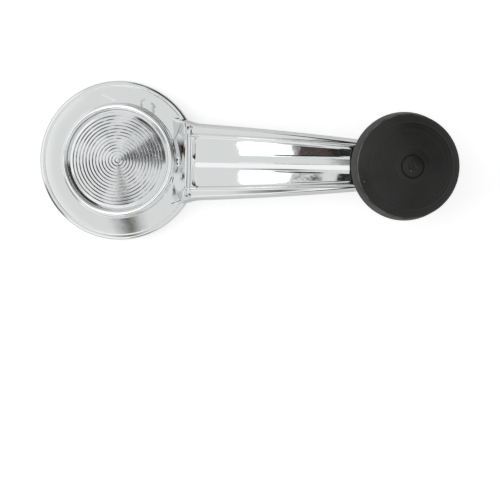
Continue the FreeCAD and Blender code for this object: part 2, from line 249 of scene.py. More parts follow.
core_inset = 1.0              # the core behind the arm's root starts this far before the crest
core_low = 2.0


# Outlines and surfaces
def soft(a, b):
    """Smooth 0 to 1 ramp of a/b: 3t^2 - 2t^3, held at its ends."""
    t = np.clip(a / b, 0, 1)
    return t * t * (3 - 2 * t)


def points_of(*parts):
    """Points from their coordinates; arrays of unlike shapes are spread over each other."""
    return np.stack(np.broadcast_arrays(*parts), axis=-1)


def corner_table(rows):
    """Table of corners from rows of (across, height, cut_in, cut_out), for all sections at once."""
    return np.stack([points_of(*row) for row in rows], axis=-2)


def softened(corners, closed=False, steps=7, rests=(0.04, 0.3, 0.7, 0.96)):
    """Outline with rounded corners.

    Each corner row is (r, z, cut_in, cut_out).  It becomes the quadratic curve
    (1-t)^2 A + 2t(1-t) P + t^2 B, where P is the corner, A lies cut_in before it
    and B cut_out after it.  The straight runs between get the points `rests`.
    Leading axes of `corners` are separate outlines of the same build.
    """
    corners = np.asarray(corners, float)
    place, cuts = corners[..., :2], corners[..., 2:4]
    behind = np.roll(place, 1, axis=-2) - place
    ahead = np.roll(place, -1, axis=-2) - place

    def reach(side, cut):
        length = np.maximum(np.linalg.norm(side, axis=-1, keepdims=True), 1e-9)
        return place + side * np.minimum(cut[..., None] / length, 1)

    first = reach(behind, cuts[..., 0])
    last = reach(ahead, cuts[..., 1])
    if not closed:
        first[..., 0, :] = last[..., 0, :] = place[..., 0, :]
        first[..., -1, :] = last[..., -1, :] = place[..., -1, :]
    t = np.linspace(0, 1, steps)[:, None]
    bend = ((1 - t) ** 2 * first[..., None, :] + 2 * t * (1 - t) * place[..., None, :]
            + t ** 2 * last[..., None, :])
    t = np.asarray(rests)[:, None]
    run = last[..., None, :] * (1 - t) + np.roll(first, -1, axis=-2)[..., None, :] * t
    both = np.concatenate([bend, run], axis=-2)
    both = both.reshape(both.shape[:-3] + (-1, 2))
    return both if closed else both[..., :-(len(rests)), :]


def distinct(line, gap=2e-3):
    """The outline without points that repeat their neighbour."""
    keep = np.ones(len(line), bool)
    keep[1:] = np.linalg.norm(np.diff(line, axis=0), axis=1) > gap
    return line[keep]


def grid_faces(rows, columns, wrap_rows, wrap_columns):
    """Quads of a grid whose rows or columns may close on themselves."""
    i = np.arange(rows if wrap_rows else rows - 1)[:, None]
    j = np.arange(columns if wrap_columns else columns - 1)[None, :]
    i2, j2 = (i + 1) % rows, (j + 1) % columns
    quads = points_of(i * columns + j, i2 * columns + j, i2 * columns + j2, i * columns + j2)
    return quads.reshape(-1, 4)


def on_knob_axis(points):
    """Points made about Z, moved onto the leaning knob axis at the crest."""
    x, y, z = points[..., 0], points[..., 1], points[..., 2]
    c, s = math.cos(lean), math.sin(lean)
    seat = crest(crank_throw)[0]
    return points_of(crank_throw + c * x + s * z, y, seat - s * x + c * z)


def piece(name, patches, body, material, replaces):
    """Mesh object from patches of (grid of points, wrap rows, wrap columns).

    Points that meet are joined, which closes seams and poles, the faces are
    turned outwards, and edges sharper than the crease angle stay sharp.
    """
    verts, faces, start = [], [], 0
    for points, wrap_rows, wrap_columns in patches:
        rows, columns = points.shape[:2]
        verts.append(points.reshape(-1, 3))
        faces.append(grid_faces(rows, columns, wrap_rows, wrap_columns) + start)
        start += rows * columns
    mesh = bpy.data.meshes.new(name)
    verts, faces = np.concatenate(verts) * MM, np.concatenate(faces)
    mesh.vertices.add(len(verts))
    mesh.vertices.foreach_set("co", verts.ravel())
    mesh.loops.add(faces.size)
    mesh.loops.foreach_set("vertex_index", faces.ravel().astype(np.int32))
    mesh.polygons.add(len(faces))
    mesh.polygons.foreach_set("loop_start", np.arange(0, faces.size, 4, dtype=np.int32))
    mesh.update(calc_edges=True)
    work = bmesh.new()
    work.from_mesh(mesh)
    bmesh.ops.remove_doubles(work, verts=work.verts, dist=4e-7)
    bmesh.ops.dissolve_degenerate(work, edges=work.edges, dist=1e-7)
    bmesh.ops.recalc_face_normals(work, faces=work.faces)
    work.to_mesh(mesh)
    work.free()
    thing = bpy.data.objects.new(name, mesh)
    bpy.context.scene.collection.objects.link(thing)
    mesh.materials.append(material)
    mesh.shade_smooth()
    mesh.set_sharp_from_angle(angle=crease_angle)
    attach(thing, body)
    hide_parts(replaces)
    return thing


def turned(line, serrated=False, turn=turn_places):
    """Grid of a line of (r, z) points turned about Z.

    With `serrated` the socket's wall moves in and out with the angle, as a
    triangle wave that grows to its depth beyond the pilot.
    """
    angle = np.arange(turn)[:, None] * 2 * math.pi / turn
    r, z = line[None, :, 0], line[None, :, 1]
    if serrated:
        wave = 2 * np.abs((angle * serration_count / (2 * math.pi)) % 1 - 0.5)
        inside = (r <= pilot_radius + 1e-6) & (z <= socket_depth + 1e-6)
        weight = inside * np.clip((z - pilot_length) / serration_lead, 0, 1) * r / pilot_radius
        r = r - serration_depth * weight * wave
    return points_of(r * np.cos(angle), r * np.sin(angle), z)


def rounded_box(half, cut, steps=5):
    """Grid over a box with soft edges: its outline drawn in by a quarter round.

    The outline of the box is a rounded rectangle; rows climb the lower quarter
    round, the wall and the upper one, and the ends close on the middle.
    """
    hx, hy, hz = half
    t = np.linspace(0, math.pi / 2, steps)
    inset = np.concatenate([[hy + hx], cut * (1 - np.sin(t)), cut * (1 - np.cos(t)), [hy + hx]])[:, None]
    level = np.concatenate([[-hz], -hz + cut * (1 - np.cos(t)), hz - cut + cut * np.sin(t), [hz]])
    cx = np.maximum(hx - cut - np.maximum(inset - cut, 0), 0)
    cy = np.maximum(hy - cut - np.maximum(inset - cut, 0), 0)
    radius = np.clip(cut - inset, 0, None)
    corners = []
    for n, (sx, sy) in enumerate(((1, 1), (-1, 1), (-1, -1), (1, -1))):
        phase = t + n * math.pi / 2
        corners.append(points_of(sx * cx + radius * np.cos(phase), sy * cy + radius * np.sin(phase),
                                 level[:, None]))
    return np.concatenate(corners, axis=1)


# Arm
def crest(x):
    """Height and slope of the crest line at x: an arc that runs out straight."""
    first, last = math.radians(arch_start_slope), math.radians(arch_end_slope)
    last_x = crest_start + arch_radius * (math.sin(first) - math.sin(last))
    slope = np.arcsin(math.sin(first) - (np.minimum(x, last_x) - crest_start) / arch_radius)
    z = crest_height + arch_radius * (np.cos(slope) - math.cos(first))
    return z + np.maximum(x - last_x, 0) * math.tan(last), slope


def border_end():
    """Middle of the ball at the left end of the border, as x, y and z."""
    x = crest_start + end_border / 2
    return x, arm_root_half - arm_side_draft - end_ball_inset, float(crest(x)[0]) - end_ball_drop


def arm_half(x):
    """Half width of the arm without the flare at its root: a taper with bowed sides."""
    along = (x - flange_radius) / (crank_throw - flange_radius)
    change = arm_tip_half - arm_root_half
    return arm_root_half + change * along - change * 4 * arm_bulge_share * along * (1 - along)


def arm_depth(x):
    """Height of the arm's section from the crest to its bottom edge."""
    return arm_root_depth + (arm_tip_depth - arm_root_depth) * x / crank_throw


def half_section(x, fluted, hollow):
    """Right half of the arm's sections at places x, as (across, height from crest).

    The line runs from the middle of the top over the flute, ridge, band and
    shoulder, down the side, round the bottom edge and back under the roof.
    """
    half, depth, zero = arm_half(x), arm_depth(x), 0 * x
    flute_out = half * flute_outer_share
    ridge_out = flute_out + flank + border_width
    floor, drop = flute_depth * fluted, border_drop * fluted
    band = border_drop + band_step
    side = half - arm_side_draft
    inside = side - arm_wall
    roof = np.where(hollow, flute_depth + arm_roof, depth)
    step = np.where(hollow, roof + shoulder_fall, depth)
    return softened(corner_table([
        (zero, 0, 0, 0),
        (zero + spine_half, 0, 0.1, 0.2),
        (zero + spine_half + spine_side, -floor, 0.6, 0.9),
        (flute_out, -floor - drop / 2, 0.8, 0.35),
        (flute_out + flank, -drop, 0.32, 0.2),
        (ridge_out, -border_drop, 0.2, 0.25),
        (ridge_out + flank, -band, 0.25, 0.35),
        (side - shoulder, -band - band_fall, 0.6, 0.4),
        (side, -band - band_fall - shoulder_fall, 0.4, 1.2),
        (half, -depth, 0.35, 0.35),
        (half - arm_wall, -depth, 0.35, 0.35),
        (inside, -step, 0.6, 0.6),
        (inside - shoulder, -roof, 0.6, 0.6),
        (zero, -roof, 0, 0),
    ]), rests=(0.05, 0.35, 0.65, 0.95))


def flute_share(x, y, half):
    """How far the flutes have sunk at (x, y): 0 on the end border, 1 beyond it.

    Each flute starts along a line across the arm whose corners are rounded in
    plan, and it runs out again under the pad of the knob.
    """
    turn_in = np.clip(1 - np.abs(y) / (spine_half + spine_side), 0, 1)
    turn_out = np.clip(1 - (half * flute_outer_share - np.abs(y)) / flute_turn_out, 0, 1)
    start = (crest_start + end_border + flute_turn_in * turn_in ** 2
             + flute_turn_out * (1 - np.sqrt(1 - turn_out ** 2)))
    return soft(x - start, flute_ramp) * (1 - soft(x - flute_end, flute_end_ramp))


def arm_place(x, y, w):
    """Point of the arm at section x, y across and w up from the crest.

    Sections stand square to the crest line.  Outside the ridges the sides flare
    towards the hub by half a cosine wave.
    """
    z, slope = crest(x)
    flare = arm_flare * (1 + np.cos(math.pi * np.clip((x - arm_start) / arm_flare_length, 0, 1))) / 2
    ridge = arm_half(x) * flute_outer_share + 2 * flank + border_width
    band = arm_half(x) - arm_side_draft - shoulder - ridge
    return points_of(x - np.sin(slope) * w, y + flare * np.clip((y - ridge) / band, 0, 1),
                     z + np.cos(slope) * w)


def skin_height(r):
    """Middle of the flange's metal at radius r, and far below outside it."""
    line = [(0, cone_inner_z), (drum_radius, cone_inner_z), (cone_outer_r, cone_outer_z),
            (flange_radius - skin_inset, cone_outer_z - skin_fall), (flange_radius, 0)]
    radii, heights = np.array(line).T
    return np.interp(r, radii, heights - flange_wall / 2)


def end_plane():
    """The arm's sloping end face in (x, z): its head, its length, the way down it and into the arm."""
    head = np.array([crest_start, crest_height + border_drop])
    slope = np.array([end_base, cone_inner_z]) - head
    length = np.linalg.norm(slope)
    down = slope / length
    return head, length, down, np.array([-down[1], down[0]])


def arm_rails():
    """Right half of the arm's skin, and its last section as (across, height from crest).

    The sections fan out from the end face's plane up to `root_end` and stand
    evenly from there.  Each blends its plain and its fluted outline by the
    flutes' share, and a low bar, exp(-(x/r)^4), lies along the border.
    """
    head, _, down, _ = end_plane()
    slope = crest(head[0])[1]
    fall = down[0] * -math.sin(slope) + down[1] * math.cos(slope)
    back = (down[0] * math.cos(slope) + down[1] * math.sin(slope)) / fall
    ease = np.concatenate([[0, .012, .03, .055, .09], np.linspace(.13, 1, 34)])
    later = np.concatenate([np.linspace(root_end, hollow_start - rail_nudge, 8)[1:], [hollow_start],
                            np.linspace(hollow_start + rail_step, rail_middle, 76),
                            np.linspace(rail_middle + rail_step, crank_throw, 18)])
    nominal = np.concatenate([head[0] + ease * (root_end - head[0]), later])
    hollow = nominal >= hollow_start - rail_nudge / 2
    plain = half_section(nominal, 0, hollow)
    cut = half_section(nominal, 1, hollow)
    start_x = head[0] + back * plain[:1, :, 1]
    fan = start_x + np.concatenate([ease, later * 0])[:, None] * (root_end - start_x)
    x = np.where(np.arange(len(nominal))[:, None] < len(ease), fan, nominal[:, None])
    share = flute_share(x, plain[..., 0], arm_half(x))[..., None]
    line = plain * (1 - share) + cut * share
    w = line[..., 1]
    points = arm_place(x, line[..., 0], w)

    bar_x, bar_half, _ = border_end()
    beyond = soft(np.abs(points[..., 1]) - bar_half, bar_fade)
    bar = np.exp(-((points[..., 0] - bar_x) / bar_reach) ** 4) * (1 - beyond)
    rise = bar_rise + bar_fill_share * np.clip(-w - border_drop, 0, 1)
    points[..., 2] += (w > -bar_depth) * bar * rise
    return points, line[-1]


def with_end_face(points):
    """Right half of the arm with its end face, whose edge is a quarter round.

    The first rings are the rim drawn in by r(1 - sin t) and set back by
    r(1 - cos t), and inside them the face shrinks to its middle.
    """
    head, length, down, facing = end_plane()
    flat = [0, 2]
    rim = points[0]
    middle = head + down * length * face_middle_share
    inward = points_of((rim[:, flat] - middle) @ down, -rim[:, 1])
    inward /= np.maximum(np.linalg.norm(inward, axis=1, keepdims=True), 1e-6)
    turn = np.linspace(0, math.pi / 2, 8)[:, None, None]
    shift = inward * face_round * (1 - np.sin(turn))
    rings = np.repeat(rim[None], len(turn), axis=0)
    rings[..., flat] += -down * shift[..., :1] + facing * face_round * (1 - np.cos(turn))
    rings[..., 1] += shift[..., 1]
    past = points[1:].copy()
    lift = np.maximum(rings[-1][:, flat] @ facing - past[..., flat] @ facing, 0)
    past[..., flat] += facing * lift[..., None]
    centre = np.array([middle[0], 0, middle[1]])
    inner = centre + (rings[0] - centre) * np.linspace(0, 0.97, 30)[:, None, None]
    return np.concatenate([inner, rings, past])


def arm_shell():
    """Grids of the arm: both halves of its skin, and its nose.

    A cast fillet climbs to the drum by the square of the nearness.  The nose is
    the last right half, turned half round the knob axis.
    """
    points, last = arm_rails()
    right = with_end_face(points)
    reach = np.hypot(right[..., 0], right[..., 1])
    near_drum = np.clip(1 - (reach - drum_radius) / fillet_reach, 0, 1)
    right[..., 2] += fillet_rise * near_drum ** 2 * (right[..., 2] < ridge_foot_z - fillet_stop)
    right[..., 2] = np.maximum(right[..., 2], skin_height(reach))
    left = right * np.array([1, -1, 1])
    angle = np.linspace(0, math.pi, 49)[:, None]
    across, height = last[None, :, 0], last[None, :, 1]
    nose = points_of(across * np.sin(angle), across * np.cos(angle), height)
    return [(right, False, False), (left, False, False), (on_knob_axis(nose), False, False)]


def arm_rib():
    """Stiffening rib inside the arm: a soft-edged bar that follows the crest."""
    x = np.linspace(flange_radius + arm_wall / 2, crank_throw - tip_boss_radius / 2, 60)
    high, low = -flute_depth - arm_roof / 2 + 0 * x, stiffener_drop - arm_depth(x)
    half = stiffener / 2
    line = softened(corner_table([(half, high, 0, 0), (-half, high, 0, 0), (-half, low, 0.35, 0.35),
                                  (half, low, 0.35, 0.35)]), closed=True, steps=5, rests=(0.1, 0.9))
    body = arm_place(x[:, None], line[..., 0], line[..., 1])
    ends = [np.repeat(body[k].mean(axis=0)[None, None], body.shape[1], axis=1) for k in (0, -1)]
    return [(np.concatenate([ends[0], body, ends[1]]), False, True)]


def border_balls():
    """Two small balls, half sunk in the arm, at the ends of the border."""
    rise = np.linspace(-math.pi / 2, math.pi / 2, 21)
    ball = turned(end_ball_radius * points_of(np.cos(rise), np.sin(rise)), turn=48)
    x, y, z = border_end()
    return [(ball + np.array([x, side, z]), True, False) for side in (y, -y)]


# Hub
def hub_line():
    """Half section of the hub: seat, ridge, drum, flange, back, boss and socket."""
    pocket_r = drum_top_r - drum_wall
    pocket_top = seat_z - flange_wall
    lip_r = flange_radius - flange_lip
    bead = ridge_foot_z + ridge_rise
    return distinct(softened([
        (0, seat_z, 0, 0),
        (recess_radius, seat_z, 0.2, 0.2),
        (recess_radius, bead, ridge_rise, ridge_width / 2),
        (drum_top_r, bead, ridge_width / 2, ridge_rise),
        (drum_radius, cone_inner_z, 0.45, 0.45),
        ((drum_radius + cone_outer_r) / 2, (cone_inner_z + cone_outer_z) / 2 + cone_swell, 2.4, 2.4),
        (cone_outer_r - bead_inset, cone_outer_z - bead_step, 0.1, 0.08),
        (cone_outer_r - bead_inset + bead_width, cone_outer_z, 0.08, 0.1),
        (flange_radius, cone_outer_z - bead_fall, flange_round - 0.25, flange_round_rise - bead_fall),
        (flange_radius, flange_back, 0.3, 0.3),
        (lip_r, flange_back, 0.3, 0.3),
        (lip_r, cone_outer_z - flange_wall, 0.4, 0.4),
        (pocket_r, cone_inner_z - flange_wall, 0.6, 0.6),
        (pocket_r, pocket_top, 0.8, 0.8),
        (boss_radius, pocket_top, 0.9, 0.9),
        (boss_radius, 0, 0.45, 0.45),
        (pilot_radius, 0, 0.3, 0.3),
        (pilot_radius, pilot_length, 0.02, 0.02),
        (pilot_radius, pilot_length + serration_lead, 0.02, 0.02),
        (pilot_radius, socket_depth, 0.3, 0.3),
        (0, socket_depth, 0, 0),
    ]))


def hub_ribs():
    """Six soft-edged ribs between the boss and the wall of the drum."""
    inner, outer = boss_radius - rib_root, drum_top_r - drum_wall + rib_bite
    low, high = slot_high + rib_clearance, seat_z - flange_wall + rib_bite
    block = rounded_box(((outer - inner) / 2, rib_thickness / 2, (high - low) / 2), rib_round)
    x, y, z = np.moveaxis(block + np.array([(outer + inner) / 2, 0, (high + low) / 2]), -1, 0)
    patches = []
    for n in range(rib_count):
        angle = 2 * math.pi * (n + 0.5) / rib_count
        c, s = math.cos(angle), math.sin(angle)
        patches.append((points_of(c * x - s * y, s * x + c * y, z), False, True))
    return patches


def tip_boss():
    """Boss under the arm and pad above it, round the rivet's tail."""
    skin = -flute_depth - arm_roof / 2
    line = softened([
        (tail_bore, -tip_boss_depth, 0.2, 0.2),
        (tip_boss_radius, -tip_boss_depth, 0.5, 0.5),
        (tip_boss_radius, skin, 0.1, 0.1),
        (pad_radius, skin, 0.1, 0.1),
        (pad_radius, pad_height, 0.25, 0.25),
        (tail_bore, pad_height, 0.1, 0.1),
    ], closed=True)
    return [(on_knob_axis(turned(distinct(line), turn=128)), True, True)]


def cut_away(thing, boxes):
    """Takes sharp blocks (low corner, high corner in mm) out of a closed piece."""
    for low, high in boxes:
        low, high = np.array(low, float), np.array(high, float)
        mesh = bpy.data.meshes.new("cutter")
        work = bmesh.new()
        made = bmesh.ops.create_cube(work, size=1)
        bmesh.ops.scale(work, vec=Vector((high - low) * MM), verts=made["verts"])
        bmesh.ops.translate(work, vec=Vector((high + low) / 2 * MM), verts=made["verts"])
        work.to_mesh(mesh)
        work.free()
        cutter = bpy.data.objects.new("cutter", mesh)
        bpy.context.scene.collection.objects.link(cutter)
        change = thing.modifiers.new("cut", "BOOLEAN")
        change.operation = "DIFFERENCE"
        change.solver = "EXACT"
        change.object = cutter
        bpy.context.view_layer.update()
        shape = thing.evaluated_get(bpy.context.evaluated_depsgraph_get())
        result = bpy.data.meshes.new_from_object(shape)
        thing.modifiers.clear()
        old = thing.data
        thing.data = result
        bpy.data.meshes.remove(old)
        bpy.data.objects.remove(cutter)
        bpy.data.meshes.remove(mesh)
    thing.data.set_sharp_from_angle(angle=crease_angle)


# Disc, clip, rivet and knob
def disc_line():
    """Half section of the grooved disc, with a plain rim and saw-tooth rings.

    Each ring climbs gently towards the middle and ends in a short steep wall;
    the field sinks by the square of the radius towards a small centre dot.
    """
    field = disc_radius - disc_rim
    pitch = field / disc_rings
    top = seat_z + disc_edge
    back = seat_z + disc_play
    rows = [(0, back, 0, 0), (disc_radius, back, 0.1, 0.1),
            (disc_radius, top - disc_rim_fall, 0.22, 0.22), (field, top, 0.12, 0.05)]
    for n in range(disc_rings):
        outer = field - n * pitch
        sink = disc_bowl * (1 - (outer / field) ** 2)
        rows.append((max(outer - ring_wall_share * pitch, 0), top - sink - ring_depth, 0.07, 0.1))
        rows.append((max(outer - pitch, 0), top - sink, 0.09, 0.05))
    return distinct(softened(rows, steps=5, rests=(0.1, 0.5, 0.9)))


def clip_grid():
    """Horseshoe clip: a soft-edged strip carried round the bow and along the legs.

    The strip's middle line is a half circle behind the boss, two straight legs
    and two turned-out tips; its section is a rounded rectangle.
    """
    back = -math.sqrt(boss_radius ** 2 - slot_near ** 2)
    mid = clip_grip + clip_width / 2
    flare = math.radians(clip_flare_angle)
    turned_out = (clip_flare - tip_inset) * np.array([math.cos(flare), math.sin(flare)])
    tip = np.array([clip_leg, mid]) + turned_out
    leg = softened([(*tip, 0, 0), (clip_leg, mid, 1.2, 1.2), (back, mid, 0, 0)],
                   steps=9, rests=(0.1, 0.5, 0.9))
    bow_angle = np.linspace(math.pi / 2, 3 * math.pi / 2, 49)[1:-1]
    bow = points_of(back + mid * np.cos(bow_angle), mid * np.sin(bow_angle))
    line = distinct(np.concatenate([leg, bow, (leg * [1, -1])[::-1]]))
    ahead = np.gradient(line, axis=0)
    ahead /= np.linalg.norm(ahead, axis=1, keepdims=True)
    edge, half = clip_thickness / 2, clip_width / 2
    section = softened([(x, y, strip_round, strip_round)
                        for x, y in ((half, edge), (-half, edge), (-half, -edge), (half, -edge))],
                       closed=True, steps=5, rests=(0.1, 0.9))
    level = pilot_length + clip_slot_clearance + clip_thickness / 2
    across = section[None, :, 0]
    body = points_of(line[:, None, 0] - ahead[:, None, 1] * across,
                     line[:, None, 1] + ahead[:, None, 0] * across, level + section[None, :, 1])
    caps = []
    for k, way in ((0, -1), (-1, 1)):
        centre = body[k].mean(axis=0)
        forward = np.array([*ahead[k], 0]) * way * strip_round
        rings = [centre + (body[k] - centre) * share + forward * bulge
                 for share, bulge in ((0, 1.0), (0.6, 1.0), (0.85, 0.8), (0.96, 0.4))]
        caps.append(np.array(rings))
    return [(np.concatenate([caps[0], body, caps[1][::-1]]), False, True)]


def rivet_line():
    """Half section of the shoulder rivet, from the staked tail to the head."""
    head = bearing_top + axial_play + washer_thickness
    low = -tip_boss_depth
    tail_end = low - tail_head_height
    return distinct(softened([
        (0, tail_end + dimple_depth, 0, 0),
        (dimple_radius, tail_end, 0.6, 0.8),
        (tail_head_radius, tail_end, 0.9, 0.6),
        (tail_head_radius, low, 0.25, 0.1),
        (tail_radius, low, 0.05, 0.05),
        (tail_radius, pad_height, 0.05, 0.05),
        (shoulder_radius, pad_height, 0.1, 0.1),
        (shoulder_radius, head, 0.05, 0.05),
        (rivet_head_radius, head, 0.3, 0.2),
        (rivet_head_radius, head + rivet_head_height * head_side_share, 0.4, 1.6),
        (head_flat, head + rivet_head_height, 1.6, 2.0),
        (0, head + rivet_head_height, 0, 0),
    ]))


def knob_body_line():
    """Half section of the knob's body: bore, recess, wall, cap seat and floor."""
    low = knob_lift
    wall_in = knob_radius - knob_taper - knob_wall
    bore = shoulder_radius + bearing_clearance
    spring_top = low + seat_recess_depth
    return distinct(softened([
        (bore, spring_top, 0.15, 0.15),
        (seat_recess_radius, spring_top, 0.3, 0.3),
        (seat_recess_radius, low, 0.2, 0.2),
        (knob_radius, low, knob_edge_round, knob_edge_round),
        (knob_radius - knob_taper, wall_top, 0.12, 0.12),
        (cap_seat_r, wall_top, 0.08, 0.08),
        (cap_seat_r, wall_top - cap_seat_depth, 0.1, 0.1),
        (wall_in, wall_top - cap_seat_depth, 0.15, 0.15),
        (wall_in, low + knob_floor, 0.6, 0.6),
        (knob_hub_radius, low + knob_floor, 0.5, 0.5),
        (knob_hub_radius, bearing_top, 0.3, 0.3),
        (bore, bearing_top, 0.2, 0.2),
    ], closed=True))


def dome(radius):
    """Height of the cap's dome, part of a ball on the knob axis, lower by the lip on it."""
    rise = dome_height - cap_lip
    ball = (cap_edge_r ** 2 + rise ** 2) / (2 * rise)
    return cap_foot + np.sqrt(ball ** 2 - radius ** 2) - (ball - rise)


def knob_cap_line():
    """Half section of the cap: button, turned rings, smooth brim, skirt and inside.

    Ring depth follows (1 - cos) of the radius over the pitch, so every ring is a
    shallow round groove; the ridge follows (1 + cos).  The button is a bowl turned
    over, 1 - (r/R)^2, in a groove with a steep outer wall and a faint raised lip.
    """
    pitch = (cap_ring_outer - cap_ring_inner) / cap_ring_count
    r = np.arange(0, cap_edge_r - dome_inset, dome_step)
    field = (r > cap_ring_inner) & (r < cap_ring_outer)
    groove = (1 - np.cos(2 * math.pi * (r - cap_ring_inner) / pitch)) / 2
    off_ridge = np.clip((r - cap_ridge_radius) / cap_ridge_width * 2, -1, 1)
    ridge = (1 + np.cos(math.pi * off_ridge)) / 2
    z = dome(r) - cap_ring_depth * groove * field + cap_ridge_rise * ridge
    lip_r = button_radius + button_lip
    z = z + cap_lip * np.exp(-((r - lip_r - cap_lip_width) / cap_lip_width) ** 2)
    low = dome(button_radius) - button_groove
    wall = low + (dome(lip_r) - low) * soft(r - button_radius, button_lip)
    button = dome(0) - (dome(0) - low) * (r / button_radius) ** 2
    z = np.where(r < button_radius, button, np.where(r < lip_r, wall, z))
    edge_z = float(dome(cap_edge_r - dome_inset))
    skirt_r = cap_seat_r - cap_gap
    inner_r = skirt_r - cap_skirt_wall
    skirt_low = wall_top - cap_seat_depth
    roof = float(dome(0)) - dome_wall
    hollow = [(inner_r * share, roof - fall, 2.0, 2.0) for share, fall in zip(hollow_shares, hollow_falls)]
    rest = softened([
        (cap_edge_r - dome_inset, edge_z, 0, 0),
        (cap_edge_r - brim_inset, edge_z - brim_fall, 0.06, 0.06),
        (cap_edge_r + brim_swell, cap_foot + brim_rise, 0.14, 0.16),
        (cap_edge_r, wall_top, 0.12, 0.1),
        (skirt_r, wall_top, 0.08, 0.08),
        (skirt_r, skirt_low, 0.2, 0.2),
        (inner_r, skirt_low, 0.2, 0.2),
        (inner_r, wall_top, 0.5, 0.5),
        *hollow,
        (0, roof, 0, 0),
    ])
    return distinct(np.concatenate([points_of(r, z), rest]))


def gate_mark(points):
    """Cap with the mould's gate mark: a ragged pit with a nub in the button.

    The pit is exp(-q^4), where q is the distance over a radius that wavers with
    the angle; the nub is exp(-(q/s)^2).
    """
    x, y = points[..., 0] - gate_place[0], points[..., 1] - gate_place[1]
    angle = np.arctan2(y, x)
    q = np.hypot(x, y) / (gate_radius + gate_wavers[0] * np.cos(2 * angle + 0.6)
                          + gate_wavers[1] * np.cos(5 * angle + 1))
    outside = points[..., 2] > dome(0) - dome_wall / 2
    points[..., 2] += outside * (nub_rise * np.exp(-(q / nub_share) ** 2) - gate_depth * np.exp(-q ** 4))
    return points


# Node helpers
def node(tree, kind, inputs=(), output=0, **settings):
    """Adds a node; inputs are values or sockets by place or name. Returns one output."""
    made = tree.nodes.new(kind)
    for key, value in settings.items():
        setattr(made, key, value)
    pairs = inputs.items() if isinstance(inputs, dict) else enumerate(inputs)
    for key, value in pairs:
        if isinstance(value, bpy.types.NodeSocket):
            tree.links.new(value, made.inputs[key])
        elif value is not None:
            made.inputs[key].default_value = value
    return made.outputs[output]


def sums(tree, operation, a, b=None, c=None):
    """Math node of that operation."""
    return node(tree, "ShaderNodeMath", [a, b, c], operation=operation)


def times(tree, first, *others):
    """Product of the values."""
    for other in others:
        first = sums(tree, "MULTIPLY", first, other)
    return first


def arrows(tree, operation, inputs, output=0):
    """Vector Math node; output 1 is the value of a length, distance or dot product."""
    return node(tree, "ShaderNodeVectorMath", inputs, output, operation=operation)


def parts_of(tree, vector):
    """X, Y and Z of a vector, as three sockets."""
    made = tree.nodes.new("ShaderNodeSeparateXYZ")
    tree.links.new(vector, made.inputs[0])
    return made.outputs


def own_place(tree):
    """Place on the object, in metres."""
    return node(tree, "ShaderNodeTexCoord", output=3)


def ramp(tree, value, low, high, out_low=0.0, out_high=1.0):
    """Smooth ramp of a value from low to high."""
    return node(tree, "ShaderNodeMapRange", [value, low, high, out_low, out_high],
                interpolation_type="SMOOTHSTEP")


def mixed(tree, share, a, b):
    """Colour mix of a and b."""
    made = tree.nodes.new("ShaderNodeMix")
    made.data_type = "RGBA"
    for key, value in ((0, share), (6, a), (7, b)):
        if isinstance(value, bpy.types.NodeSocket):
            tree.links.new(value, made.inputs[key])
        else:
            made.inputs[key].default_value = value if key == 0 else (*value, 1)
    return made.outputs[2]


def group(name, inputs, outputs, build):
    """Shader node group with named float inputs and outputs, filled by build(tree, ins)."""
    tree = bpy.data.node_groups.new(name, "ShaderNodeTree")
    for label, value in inputs:
        socket = tree.interface.new_socket(label, in_out="INPUT", socket_type="NodeSocketFloat")
        socket.default_value = value
    for label in outputs:
        tree.interface.new_socket(label, in_out="OUTPUT", socket_type="NodeSocketFloat")
    entry = tree.nodes.new("NodeGroupInput")
    leave = tree.nodes.new("NodeGroupOutput")
    for label, socket in build(tree, entry.outputs).items():
        tree.links.new(socket, leave.inputs[label])
    return tree


def use_group(tree, shared, **inputs):
    """Places a shared group in a material and returns its outputs."""
    made = tree.nodes.new("ShaderNodeGroup")
    made.node_tree = shared
    for label, value in inputs.items():
        made.inputs[label].default_value = value
    return made.outputs


def finish_material(name, base, sockets, **fixed):
    """Material with one Principled BSDF: fixed values on its sockets, links from `sockets`."""
    material = bpy.data.materials.new(name)
    material.use_nodes = True
    tree = material.node_tree
    shader = tree.nodes["Principled BSDF"]
    shader.inputs["Base Color"].default_value = (*base, 1)
    for label, value in fixed.items():
        shader.inputs[label.replace("_", " ")].default_value = value
    for label, socket in sockets(tree).items():
        tree.links.new(socket, shader.inputs[label])
    return material


def bump(tree, height, distance, strength=1.0):
    """Bump node of that height; the distance is in metres."""
    return node(tree, "ShaderNodeBump", {"Height": height, "Distance": distance, "Strength": strength})


def object_noise(tree, scale, detail=2.0, roughness=0.5, stretch=None):
    """Noise on Object coordinates, per metre."""
    place = own_place(tree)
    if stretch:
        place = node(tree, "ShaderNodeMapping", {"Vector": place, "Scale": stretch})
    return node(tree, "ShaderNodeTexNoise", {"Vector": place, "Scale": scale, "Detail": detail,
                                             "Roughness": roughness})


def spot_at(tree, centre, reach):
    """Soft mask round a place: 1 at the centre, 0 at that reach along X, Y and Z (mm)."""
    off = arrows(tree, "SUBTRACT", [own_place(tree), Vector(centre) * MM])
    off = arrows(tree, "MULTIPLY", [off, Vector(1 / (r * MM) for r in reach)])
    return ramp(tree, arrows(tree, "LENGTH", [off], 1), 1.0, 0.3)


# Effects that are built once and placed by name
def build_polish(tree, ins):
    """Hand-polished plate: slow waves, quick ripples and a fine haze in the gloss."""
    slow = object_noise(tree, 55, 1.0)
    quick = object_noise(tree, 240, 2.0)
    height = sums(tree, "ADD", times(tree, slow, ins["Waves"]), times(tree, quick, ins["Ripples"]))
    haze = ramp(tree, object_noise(tree, 900, 4.0, 0.6), 0.35, 0.75)
    return {"Height": height, "Roughness": sums(tree, "MULTIPLY_ADD", haze, ins["Haze"], ins["Polish"])}


